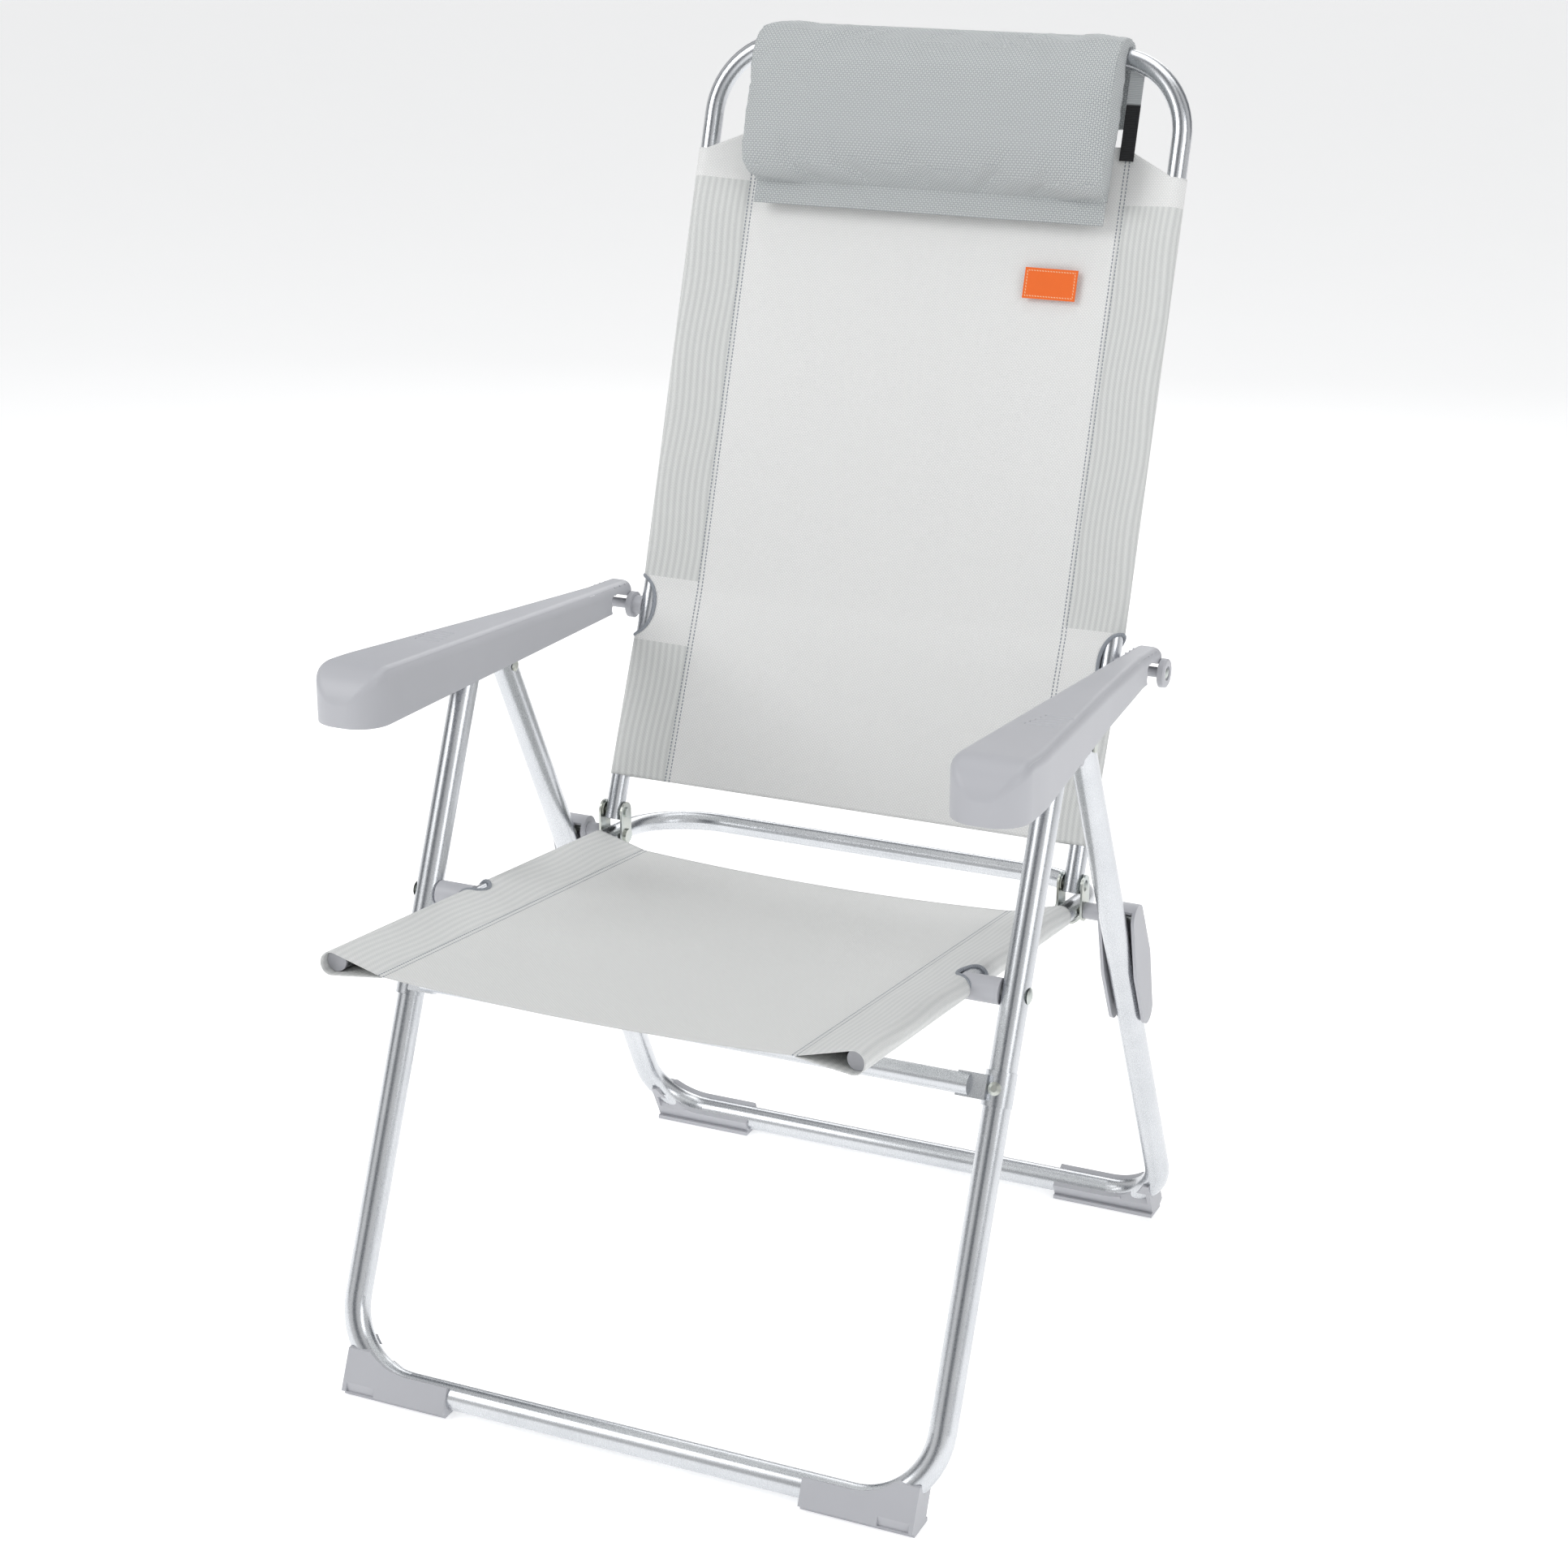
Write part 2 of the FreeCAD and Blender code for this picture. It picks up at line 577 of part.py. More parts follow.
def along_arm(y, front, rear):
    return front + (rear - front) * (y - arm_nose_y) / (arm_rear_y - arm_nose_y)


def arm_top_z(y):
    return along_arm(y, arm_pivot.z + arm_top_front, stud.z + arm_top_rear)


def arm_low_z(y):
    return along_arm(y, arm_pivot.z + arm_low_front, stud.z + arm_low_rear)


def rounded(corners):
    """Closed flat wire through (point, radius) corners."""
    count = len(corners)
    cuts = []
    for i, (p, r) in enumerate(corners):
        u = (corners[i - 1][0] - p).normalize()
        w = (corners[(i + 1) % count][0] - p).normalize()
        half = acos(max(-1.0, min(1.0, u.dot(w)))) / 2
        back = r / tan(half)
        mid = p + (u + w).normalize() * (r / sin(half) - r)
        cuts.append((p + u * back, mid, p + w * back, r))
    edges = []
    for i, (start, mid, end, r) in enumerate(cuts):
        if r > 0:
            edges.append(Part.Arc(start, mid, end).toShape())
        edges.append(Part.makeLine(end, cuts[(i + 1) % count][0]))
    return Part.Wire(edges)


def arm_block(inset, open_below):
    """Outside of the armrest, or its hollow when inset by the wall."""
    x0, x1 = arm_inner + inset, arm_inner + arm_width_front - inset
    xm, xr = arm_inner + arm_width_mid - inset, arm_inner + arm_width_rear - inset
    y0, y1 = arm_nose_y + inset, arm_rear_y - inset
    rack_y = stud_at(step_turn * notch_steps).y - stud_cap_d / 2 - 2.0
    plan = rounded([(V(x0, y1, 0), 0), (V(x0, y0, 0), arm_nose_r - inset),
                    (V(x1, y0, 0), arm_nose_r - inset), (V(x1, arm_pivot.y - arm_knee_run, 0), 250.0),
                    (V(xm, arm_pivot.y + arm_mid_run, 0), 300.0), (V(xr, rack_y, 0), 60.0),
                    (V(xr, y1, 0), 0)])
    plan = Part.Face(plan).extrude(V(0, 0, 900))
    drop = 60 if open_below else 0
    brow_y = y0 - arm_brow_ahead
    side = rounded([(V(0, brow_y, arm_low_z(y0) - drop), 0),
                    (V(0, brow_y, arm_top_z(y0) - inset), arm_brow_r - inset),
                    (V(0, y1, arm_top_z(y1) - inset), 0), (V(0, y1, arm_low_z(y1) - drop), 0)])
    return plan.common(Part.Face(side).extrude(V(900, 0, 0)))


def soften(block, r):
    """Round the long top edges of the armrest."""
    edges = []
    for e in block.Edges:
        mid = e.valueAt((e.FirstParameter + e.LastParameter) / 2)
        on_top = abs(mid.z - arm_top_z(mid.y)) < 1.5 and e.BoundBox.YLength > 40
        if on_top:
            edges.append(e)
    return block.makeFillet(r, edges)


def armrest():
    """Moulded shell, open below, with pin bosses and the recline rack's ribs."""
    body = soften(arm_block(0.0, False), arm_top_r)
    hollow = arm_block(arm_wall, True)
    body = body.cut(hollow)
    leg_out = half_track + leg_r + side_gap
    leg_in = half_track - leg_r - side_gap
    reach = arm_inner + arm_width_front
    inside = arm_block(arm_wall - 0.8, True)
    bosses = []
    for at, lo_x in ((arm_pivot, leg_out), (rear_pin, half_track + 11.0)):
        bosses.append(cyl(arm_boss_d / 2, lo_x, reach, at))
    bosses.append(cyl(arm_boss_d / 2, arm_inner, half_track - 11.0, rear_pin))
    for boss in bosses:
        body = body.fuse(boss.common(inside))
    for at, x0 in ((arm_pivot, leg_in - 5), (rear_pin, arm_inner + 1.5)):
        body = body.cut(cyl(arm_pin_d / 2 + turn_fit, x0, leg_out + 5.0, at))
    path = [stud_at(step_turn * (k + 0.5)) for k in range(notch_steps)]
    for p in path:
        low = p.z + stud_d / 2 + rack_gap
        rib = Part.makeBox(arm_width_front, rib_t, 60, V(arm_inner, p.y - rib_t / 2, low))
        body = body.fuse(rib.common(inside))
    lane = []
    for k in range(notch_steps * 2 + 1):
        p = stud_at(step_turn * k / 2)
        lane.append((p, stud_d / 2 + rack_gap))
    window = slab(belt(lane), arm_inner - 5, arm_inner + arm_width_front)
    under = window.copy()
    for drop in (8, 16, 24):
        lower = window.copy()
        lower.translate(V(0, 0, -drop))
        under = under.fuse(lower)
    behind = window.copy()
    behind.translate(V(0, 6, 0))
    body = body.cut(under.fuse(behind))
    for k in range(groove_count):
        y = arm_nose_y + 150.0 + k * groove_pitch
        z = arm_top_z(y) + 3.0 - groove_depth
        wheel = Part.makeCylinder(3.0, 26.0, V(arm_inner + 18 + k * 1.5, y, z), X)
        body = body.cut(wheel)
    return body.removeSplitter()


def arm_pins():
    """Two plain pins in the armrest that the leg tops turn on."""
    front = cyl(arm_pin_d / 2, half_track - leg_r + 1.5, half_track + leg_r + side_gap + 4.8, arm_pivot)
    rear = cyl(arm_pin_d / 2, arm_inner + 1.6, half_track + leg_r + side_gap + 4.8, rear_pin)
    return [front, rear]


def front_plug():
    """Cap pushed into the top of a front leg."""
    top = front_foot + up_front * front_top_run
    at = V(half_track, top.y, top.z)
    plug = Part.makeCylinder(leg_r - tube_wall - seat_fit, 7.0, at - up_front * 7.0, up_front)
    return plug.fuse(Part.makeCylinder(leg_r, 2.0, at, up_front)).removeSplitter()


def rear_plug():
    """Moulded end of a rear leg: a plug in the tube and an eye on the armrest's pin."""
    top = rear_foot + up_rear * rear_top_run
    at = V(half_track, top.y, top.z)
    plug = Part.makeCylinder(leg_r - tube_wall - seat_fit, 30.0, at - up_rear * 30.0, up_rear)
    collar = Part.makeCylinder(leg_r, 3.0, at, up_rear)
    eye = cyl(10.0, half_track - 10.7, half_track + 10.7, rear_pin)
    neck = Part.makeCylinder(8.5, (rear_pin - top).Length, at, up_rear)
    body = plug.multiFuse([collar, eye, neck])
    body = body.cut(cyl(arm_pin_d / 2 + turn_fit, half_track - 20, half_track + 20, rear_pin))
    return body.cut(cyl(rivet_d / 2 + turn_fit, half_track - 20, half_track + 20, rear_rivet)).removeSplitter()


def stud_boss():
    """Flanged bush between the upright and the armrest."""
    body = cyl(stud_boss_d / 2, arm_inner - 6.5, arm_inner - 1.0, stud)
    body = body.fuse(cyl(stud_boss_d / 2 - 3.5, rail_half + rail_r - 3.0, arm_inner - 6.5, stud))
    low = stud - up_front * 40
    upright = Part.makeCylinder(rail_r + seat_fit, 80, V(rail_half, low.y, low.z), up_front)
    body = body.cut(upright)
    return body.cut(cyl(rivet_d / 2 + turn_fit, rail_half - 20, arm_inner + 10, stud)).removeSplitter()


def stud_sleeve():
    """Plain sleeve that the armrest's ribs ride on."""
    body = cyl(stud_d / 2, arm_inner - 1.0, arm_inner + arm_width_rear + 1.0, stud)
    return body.cut(cyl(rivet_d / 2 + turn_fit, arm_inner - 5, arm_inner + 60, stud))


def stud_cap():
    """Round outer cap of the stud, with a rolled rim."""
    x0 = arm_inner + arm_width_rear + 1.0
    body = cyl(stud_cap_d / 2, x0, x0 + stud_cap_t, stud)
    rim = [e for e in body.Edges if abs(e.Length - pi * stud_cap_d) < 1.0]
    body = body.makeFillet(2.0, [e for e in rim if e.CenterOfMass.x > x0 + 1])
    well = cyl(rivet_head_d / 2 + 1.0, x0 + stud_cap_t - 1.8, x0 + stud_cap_t + 1, stud)
    return body.cut(well).cut(cyl(rivet_d / 2 + turn_fit, x0 - 1, x0 + 20, stud))


stud_rivet_out = arm_inner + arm_width_rear + 1.0 + stud_cap_t - 1.8


def washers():
    """Plain washers between the bracket cheeks and the foot of an upright."""
    rings = []
    for x0 in (rail_half - rail_r - washer_t, rail_half + rail_r):
        ring = cyl(8.0, x0, x0 + washer_t, back_pivot)
        rings.append(ring.cut(cyl(rivet_d / 2 + turn_fit, x0 - 1, x0 + 3, back_pivot)))
    return rings


def main():
    os.makedirs("parts", exist_ok=True)
    write("front_leg_frame", front_frame)
    write("rear_leg_frame", rear_frame)
    pair("front_foot", foot_shell(front_foot, up_front, front_bend_r))
    pair("rear_foot", foot_shell(rear_foot, up_rear, rear_bend_r))
    write("front_cross_rail", cross_bar_solid)
    write("cross_rail_rivets", both(cross_rivet()))
    write("front_leg_caps", both(front_plug()))
    pair("rear_leg_eye", rear_plug())
    head_in = half_track - leg_r
    head_out = half_track + leg_r
    write("rear_leg_rivets", both(rivet(rear_rivet, head_in, head_out, rivet_d)))

    write("seat_frame", seat_frame)
    write("seat_rail_caps", both(rail_cap()))
    write("seat_cover", seat_cover())
    seat_side = half_track - leg_r - side_gap
    pair("seat_spacer", spacer(seat_pivot, spacer_d, rail_half, seat_side, arm_pin_d))
    write("seat_rivets", both(rivet(seat_pivot, head_out + side_gap, rail_half - rail_r, arm_pin_d, 15.0)))
    pin_side = guide_in - side_gap
    pair("pin_spacer", spacer(guide_pin, pin_spacer_d, rail_half + bracket_outer, pin_side, guide_pin_d))
    pair("hinge_bracket", hinge_bracket())
    pin = cyl(guide_pin_d / 2, rail_half - bracket_outer, guide_out - 1.9, guide_pin)
    pin = pin.fuse(cyl(7.0, rail_half - bracket_outer - 2.4, rail_half - bracket_outer, guide_pin))
    write("guide_pins", both(pin))

    pair("slide_guide", slide_guide())

    hinge_out = rail_half + bracket_outer
    hinge_in = rail_half - bracket_outer
    write("back_rivets", both(rivet(back_pivot, hinge_out, hinge_in, rivet_d)))
    write("back_washers", washers() + [mirrored(w) for w in washers()])

    write("back_frame", back_frame)
    write("back_cover", back_cover())
    write("head_cushion", head_cushion())
    write("cover_straps", both(cover_strap()))
    write("back_label", back_label())
    pair("stud_boss", stud_boss())
    write("stud_sleeves", both(stud_sleeve()))
    pair("stud_cap", stud_cap())
    write("stud_rivets", both(rivet(stud, stud_rivet_out, rail_half - rail_r, rivet_d)))

    pair("armrest", armrest())
    write("arm_pins_right", arm_pins())
    write("arm_pins_left", [mirrored(p) for p in arm_pins()])


main()
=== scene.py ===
from math import radians, sin, cos, pi, hypot, ceil

import bmesh
import bpy
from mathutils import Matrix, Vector


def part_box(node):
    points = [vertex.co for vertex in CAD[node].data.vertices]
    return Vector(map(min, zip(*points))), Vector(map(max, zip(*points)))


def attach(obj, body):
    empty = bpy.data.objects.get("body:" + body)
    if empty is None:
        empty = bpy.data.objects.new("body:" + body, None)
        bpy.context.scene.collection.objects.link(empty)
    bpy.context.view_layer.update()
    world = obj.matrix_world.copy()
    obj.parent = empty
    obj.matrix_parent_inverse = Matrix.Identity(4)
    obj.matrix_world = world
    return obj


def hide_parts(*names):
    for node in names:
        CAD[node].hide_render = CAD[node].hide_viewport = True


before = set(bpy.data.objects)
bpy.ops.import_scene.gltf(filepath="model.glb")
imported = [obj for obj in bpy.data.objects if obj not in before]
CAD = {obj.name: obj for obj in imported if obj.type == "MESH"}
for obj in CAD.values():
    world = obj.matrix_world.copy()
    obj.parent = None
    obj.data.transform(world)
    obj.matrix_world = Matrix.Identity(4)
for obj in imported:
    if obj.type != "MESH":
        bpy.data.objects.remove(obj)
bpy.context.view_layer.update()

# ------------------------------------------------------------------ the room
# A pale studio floor that runs out of sight, a large soft key light to the left, a weaker fill
# to the right, a top light, and a banded surround so that bright metal has something to show.


def deselect():
    if bpy.context.object and bpy.context.object.mode != "OBJECT":
        bpy.ops.object.mode_set(mode="OBJECT")
    bpy.ops.object.select_all(action="DESELECT")


def srgb(code):
    """Linear RGBA of an sRGB hex colour."""
    parts = [int(code[i:i + 2], 16) / 255 for i in (0, 2, 4)]
    linear = [c / 12.92 if c <= 0.04045 else ((c + 0.055) / 1.055) ** 2.4 for c in parts]
    return (*linear, 1.0)


def add(tree, kind, settings=None, **links):
    """Add a node; settings fill its properties or sockets, links join sockets to it."""
    n = tree.nodes.new(kind)
    for key, value in (settings or {}).items():
        if isinstance(key, int) or key in n.inputs:
            n.inputs[key].default_value = value
        else:
            setattr(n, key, value)
    for key, source in links.items():
        name = int(key[1:]) if key[0] == "_" else key.replace("_", " ")
        tree.links.new(source, n.inputs[name])
    return n


def calc(tree, operation, first, second=0.0, third=0.0):
    """Output of a maths node; each input is a number or a socket."""
    n = add(tree, "ShaderNodeMath", {"operation": operation})
    for i, value in enumerate((first, second, third)):
        if isinstance(value, (int, float)):
            n.inputs[i].default_value = value
        else:
            tree.links.new(value, n.inputs[i])
    return n.outputs[0]


def blend_colour(tree, factor, a, b):
    """Colour between a and b, each a hex colour or a socket."""
    n = add(tree, "ShaderNodeMix", {"data_type": "RGBA"}, _0=factor)
    for i, value in ((6, a), (7, b)):
        if isinstance(value, str):
            n.inputs[i].default_value = srgb(value)
        else:
            tree.links.new(value, n.inputs[i])
    return n.outputs[2]


def new_material(name, **constants):
    """Material with a Principled shader; returns the material, its node tree and the shader."""
    mat = bpy.data.materials.new(name)
    mat.use_nodes = True
    shader = mat.node_tree.nodes["Principled BSDF"]
    for key, value in constants.items():
        shader.inputs[key.replace("_", " ")].default_value = value
    return mat, mat.node_tree, shader


def bump(tree, shader, height, depth, strength=1.0):
    n = add(tree, "ShaderNodeBump", {"Distance": depth, "Strength": strength}, Height=height)
    tree.links.new(n.outputs[0], shader.inputs["Normal"])


def noise(tree, place, scale, detail=2.0):
    return add(tree, "ShaderNodeTexNoise", {"Scale": scale, "Detail": detail}, Vector=place).outputs[0]


def ramp(tree, factor, low, high):
    """0 at low, 1 at high."""
    n = add(tree, "ShaderNodeMapRange", {1: low, 2: high, "clamp": True}, _0=factor)
    return n.outputs[0]


def paint(material, *nodes):
    """Give CAD nodes a material."""
    for name in nodes:
        CAD[name].data.materials.clear()
        CAD[name].data.materials.append(material)


bpy.context.scene.view_settings.view_transform = "Standard"
deselect()
FLOOR_Z = -0.0008    # just under the soles
bpy.ops.mesh.primitive_grid_add(x_subdivisions=8, y_subdivisions=8, size=60, location=(0, 0, FLOOR_Z))
floor = bpy.context.object
floor.name = "studio_floor"
pale, tree, shader = new_material("floor_pale_matt", Roughness=0.9)
place = add(tree, "ShaderNodeTexCoord").outputs["Object"]
paper = blend_colour(tree, noise(tree, place, 3.0), "F6F6F6", "F9F9F9")
tree.links.new(paper, shader.inputs["Base Color"])
shader.inputs["Emission Color"].default_value = srgb("FFFFFF")
shader.inputs["Emission Strength"].default_value = 0.45
floor.data.materials.append(pale)

world = bpy.data.worlds.new("studio")
bpy.context.scene.world = world
world.use_nodes = True
tree = world.node_tree
surround = tree.nodes["Background"]
heading = add(tree, "ShaderNodeSeparateXYZ", Vector=add(tree, "ShaderNodeTexCoord").outputs["Generated"])
turn = calc(tree, "ARCTAN2", heading.outputs[1], heading.outputs[0])
bands = ramp(tree, calc(tree, "SINE", calc(tree, "MULTIPLY", turn, 5.0)), -0.75, 0.35)
tree.links.new(blend_colour(tree, bands, "75797F", "FFFFFF"), surround.inputs["Color"])
surround.inputs["Strength"].default_value = 0.66

LAMPS = {
    "key": ((-2.6, -2.4, 3.2), (0, 0, 0.6), 2.2, 2.6, 66),
    "fill": ((3.0, -1.4, 2.0), (0, 0, 0.6), 1.4, 2.4, 28),
    "top": ((0.2, 0.6, 3.8), (0, 0.1, 0.5), 2.6, 2.6, 34),
    "back": ((-1.0, 3.4, 2.2), (0, 0, 0.7), 2.4, 1.4, 20),
}
for name, (spot, aim, wide, tall, watts) in LAMPS.items():
    lamp = bpy.data.lights.new(name, "AREA")
    lamp.shape = "RECTANGLE"
    lamp.size, lamp.size_y, lamp.energy = wide, tall, watts
    holder = bpy.data.objects.new(name, lamp)
    bpy.context.scene.collection.objects.link(holder)
    holder.location = spot
    holder.rotation_euler = (Vector(aim) - Vector(spot)).to_track_quat("-Z", "Y").to_euler()

eye = bpy.data.cameras.new("camera")
eye.sensor_width = 36
eye.lens = 70.26
eye.shift_y = -0.0043
camera = bpy.data.objects.new("camera", eye)
bpy.context.scene.collection.objects.link(camera)
camera.location = (1.1334, -2.4744, 1.4920)
camera.rotation_euler = (radians(90 - 19.32), 0, radians(24.64))
bpy.context.scene.camera = camera

# ------------------------------------------------------------------ tube frames
# Legs, seat rail, uprights and the front cross rail are drawn aluminium tube with a satin
# anodised skin; fine drawing lines run along them and the skin is a little cloudy.
metal, tree, shader = new_material("satin_anodised_aluminium", Metallic=1.0)
place = add(tree, "ShaderNodeTexCoord").outputs["Object"]
cloud = noise(tree, place, 22.0)
lines = add(tree, "ShaderNodeMapping", {"Scale": (900.0, 900.0, 14.0)}, Vector=place).outputs[0]
grain = noise(tree, lines, 1.0, 3.0)
tree.links.new(blend_colour(tree, cloud, "C6C9CD", "DADCDF"), shader.inputs["Base Color"])
tree.links.new(calc(tree, "MULTIPLY_ADD", grain, 0.12, 0.22), shader.inputs["Roughness"])
bump(tree, shader, grain, 0.00002, 0.6)
paint(metal, "front_leg_frame", "rear_leg_frame", "seat_frame", "back_frame", "front_cross_rail")

# ------------------------------------------------------------------ moulded plastic
# Armrests, feet, slide guides, spacers and caps are injection-moulded grey plastic with a
# fine spark-eroded grain: a soft sheen that breaks up close to.
grey, tree, shader = new_material("moulded_grey_polypropylene", IOR=1.49)
place = add(tree, "ShaderNodeTexCoord").outputs["Object"]
tree.links.new(blend_colour(tree, noise(tree, place, 9.0), "B1B2B7", "BCBDC2"),
               shader.inputs["Base Color"])
pits = noise(tree, place, 2600.0, 1.0)
tree.links.new(calc(tree, "MULTIPLY_ADD", pits, 0.16, 0.34), shader.inputs["Roughness"])
bump(tree, shader, pits, 0.00003, 0.5)
PLASTIC = ("armrest", "front_foot", "rear_foot", "slide_guide", "stud_boss", "stud_sleeve", "stud_cap",
           "seat_spacer", "pin_spacer", "rear_leg_eye", "front_leg_caps", "seat_rail_caps")
paint(grey, *[n for n in CAD if n.startswith(PLASTIC)])

# ------------------------------------------------------------------ fasteners and brackets
# Rivets, pins, washers and the hinge brackets are zinc-plated steel, bright with the faint
# blue and yellow drift of passivated zinc.
zinc, tree, shader = new_material("passivated_zinc_plated_steel", Metallic=1.0)
place = add(tree, "ShaderNodeTexCoord").outputs["Object"]
drift = noise(tree, place, 60.0)
tree.links.new(blend_colour(tree, drift, "B9C4C9", "CFCDBE"), shader.inputs["Base Color"])
spots = noise(tree, place, 900.0)
tree.links.new(calc(tree, "MULTIPLY_ADD", spots, 0.2, 0.22), shader.inputs["Roughness"])
bump(tree, shader, spots, 0.00002, 0.4)
ZINC = ("cross_rail_rivets", "rear_leg_rivets", "seat_rivets", "hinge_bracket", "guide_pins", "back_rivets",
        "back_washers", "stud_rivets", "arm_pins")
paint(zinc, *[n for n in CAD if n.startswith(ZINC)])


# ------------------------------------------------------------------ the woven covers
# Seat and back are coated polyester mesh, each one sheet wrapped round its side tubes and sewn
# back to itself as a pocket, with two rows of grey stitching and overlocked openings at the pins.
SEAM = 0.196         # half width of the single-layer panel
TUBE_X = 0.247
WRAP_R = 0.0103      # middle of the cloth round the 19 mm tube
FOLD_RISE = -0.003   # seam below the tube's axis
TURN_RISE = -0.0042  # sewn-back layer below the tube's axis
PITCH = 0.0016       # thread spacing, drawn about half as coarse again as the real cloth so that it shows
CUT_REACH = 0.0205   # half of an opening's width round the tube
LEAN_LOW = radians(23.6)
LEAN_HIGH = radians(18.2)
SLOPE = radians(6.3)
SEAT_PIN = Vector((0, -0.1641366, 0.4336))
BACK_PIN = Vector((0, 0.1216544, 0.4270484))


def cross_section(sag):
    """Half the sheet's outline from the middle out, round the tube and back: (x, rise, run) list."""
    pts = [(SEAM * i / 40, sag * (1 - (i / 40) ** 2) + FOLD_RISE * (i / 40) ** 2) for i in range(41)]
    top, low = radians(105), radians(-97)
    start = (TUBE_X + WRAP_R * cos(top), WRAP_R * sin(top))
    pts += [(SEAM + (start[0] - SEAM) * i / 16, FOLD_RISE + (start[1] - FOLD_RISE) * i / 16)
            for i in range(1, 17)]
    pts += [(TUBE_X + WRAP_R * cos(top + (low - top) * i / 18), WRAP_R * sin(top + (low - top) * i / 18))
            for i in range(1, 19)]
    end = pts[-1]
    pts += [(end[0] + (SEAM - end[0]) * i / 16, end[1] + (TURN_RISE - end[1]) * i / 16)
            for i in range(1, 17)]
    run, out = 0.0, []
    for i, (x, h) in enumerate(pts):
        if i:
            run += hypot(x - pts[i - 1][0], h - pts[i - 1][1])
        out.append((x, h, run))
    return out


def cover(name, section, lengths, at, pin_run, pin_half):
    """Sheet swept along a path, open round each pin. at(run) gives the axis point and the way the
    sheet faces there, and lengths(u) its length at distance u from the middle."""
    half = section[::-1]
    around = [(-x, h, -r) for x, h, r in half[:-1]] + section
    pin_u = min(section, key=lambda p: abs(p[0] - TUBE_X - WRAP_R))[2] - 0.004
    rows = ceil(max(lengths(r) for _, _, r in section) / 0.0035)
    bm = bmesh.new()
    uv = bm.loops.layers.uv.new("cloth")
    grid = []
    for j in range(rows + 1):
        line = []
        for x, h, r in around:
            v = lengths(abs(r)) * j / rows
            reach = hypot((abs(r) - pin_u) / CUT_REACH, (v - pin_run) / pin_half)
            centre, face = at(v)
            vert = bm.verts.new(centre + Vector((x, 0, 0)) + face * h)
            line.append((vert, r, v, reach))
        grid.append(line)
    for j in range(rows):
        for i in range(len(around) - 1):
            ring = (grid[j][i], grid[j][i + 1], grid[j + 1][i + 1], grid[j + 1][i])
            if sum(p[3] for p in ring) / 4 < 1.0:
                continue
            face = bm.faces.new([p[0] for p in ring])
            face.smooth = True
            for loop, p in zip(face.loops, ring):
                loop[uv].uv = (p[1], p[2])
    bmesh.ops.delete(bm, geom=[v for v in bm.verts if not v.link_faces], context="VERTS")
    mesh = bpy.data.meshes.new(name)
    bm.to_mesh(mesh)
    bm.free()
    piece = bpy.data.objects.new(name, mesh)
    bpy.context.scene.collection.objects.link(piece)
    return piece, pin_u


def thicken(piece, thickness):
    deselect()
    piece.select_set(True)
    bpy.context.view_layer.objects.active = piece
    bpy.ops.object.modifier_add(type="SOLIDIFY")
    piece.modifiers[-1].thickness = thickness
    piece.modifiers[-1].offset = 0
    bpy.ops.object.modifier_apply(modifier=piece.modifiers[-1].name)


def cord_ring(name, path, r):
    """Closed round cord through the points."""
    deselect()
    curve = bpy.data.curves.new(name, "CURVE")
    curve.dimensions = "3D"
    curve.bevel_depth = r
    curve.bevel_resolution = 2
    line = curve.splines.new("POLY")
    line.points.add(len(path) - 1)
    for p, co in zip(line.points, path):
        p.co = (*co, 1.0)
    line.use_cyclic_u = True
    ring = bpy.data.objects.new(name, curve)
    bpy.context.scene.collection.objects.link(ring)
    ring.select_set(True)
    bpy.context.view_layer.objects.active = ring
    bpy.ops.object.convert(target="MESH")
    bpy.ops.object.shade_smooth()
    return bpy.context.object


def point_on(section, run):
    """(x, rise) at this distance along the outline."""
    for (x0, h0, r0), (x1, h1, r1) in zip(section, section[1:]):
        if r1 >= run:
            t = (run - r0) / (r1 - r0)
            return x0 + (x1 - x0) * t, h0 + (h1 - h0) * t
    return section[-1][:2]


def edgings(name, section, at, pin_u, pin_run, pin_half):
    rings = []
    for side in (-1, 1):
        path = []
        for k in range(72):
            a = 2 * pi * k / 72
            x, h = point_on(section, pin_u + CUT_REACH * cos(a))
            centre, face = at(pin_run + pin_half * sin(a))
            path.append(centre + Vector((side * x, 0, 0)) + face * h)
        rings.append(cord_ring(f"{name}_{'right' if side < 0 else 'left'}", path, 0.0019))
    return rings


def weave(tree, pitch, shut, wide):
    """Plain weave on the piece's own cloth map, in metres: both distances, which thread is over,
    and the gap between threads, from shut to wide."""
    cloth_map = add(tree, "ShaderNodeUVMap", {"uv_map": "cloth"}).outputs[0]
    spot = add(tree, "ShaderNodeSeparateXYZ", Vector=cloth_map)
    waves = [calc(tree, "SINE", calc(tree, "MULTIPLY", spot.outputs[i], pi / pitch)) for i in (0, 1)]
    bare = [calc(tree, "SUBTRACT", 1.0, calc(tree, "ABSOLUTE", wave)) for wave in waves]
    over = ramp(tree, calc(tree, "MULTIPLY", *waves), -0.5, 0.5)
    hole = ramp(tree, calc(tree, "MULTIPLY", *bare), shut, wide)
    return spot.outputs[0], spot.outputs[1], over, hole


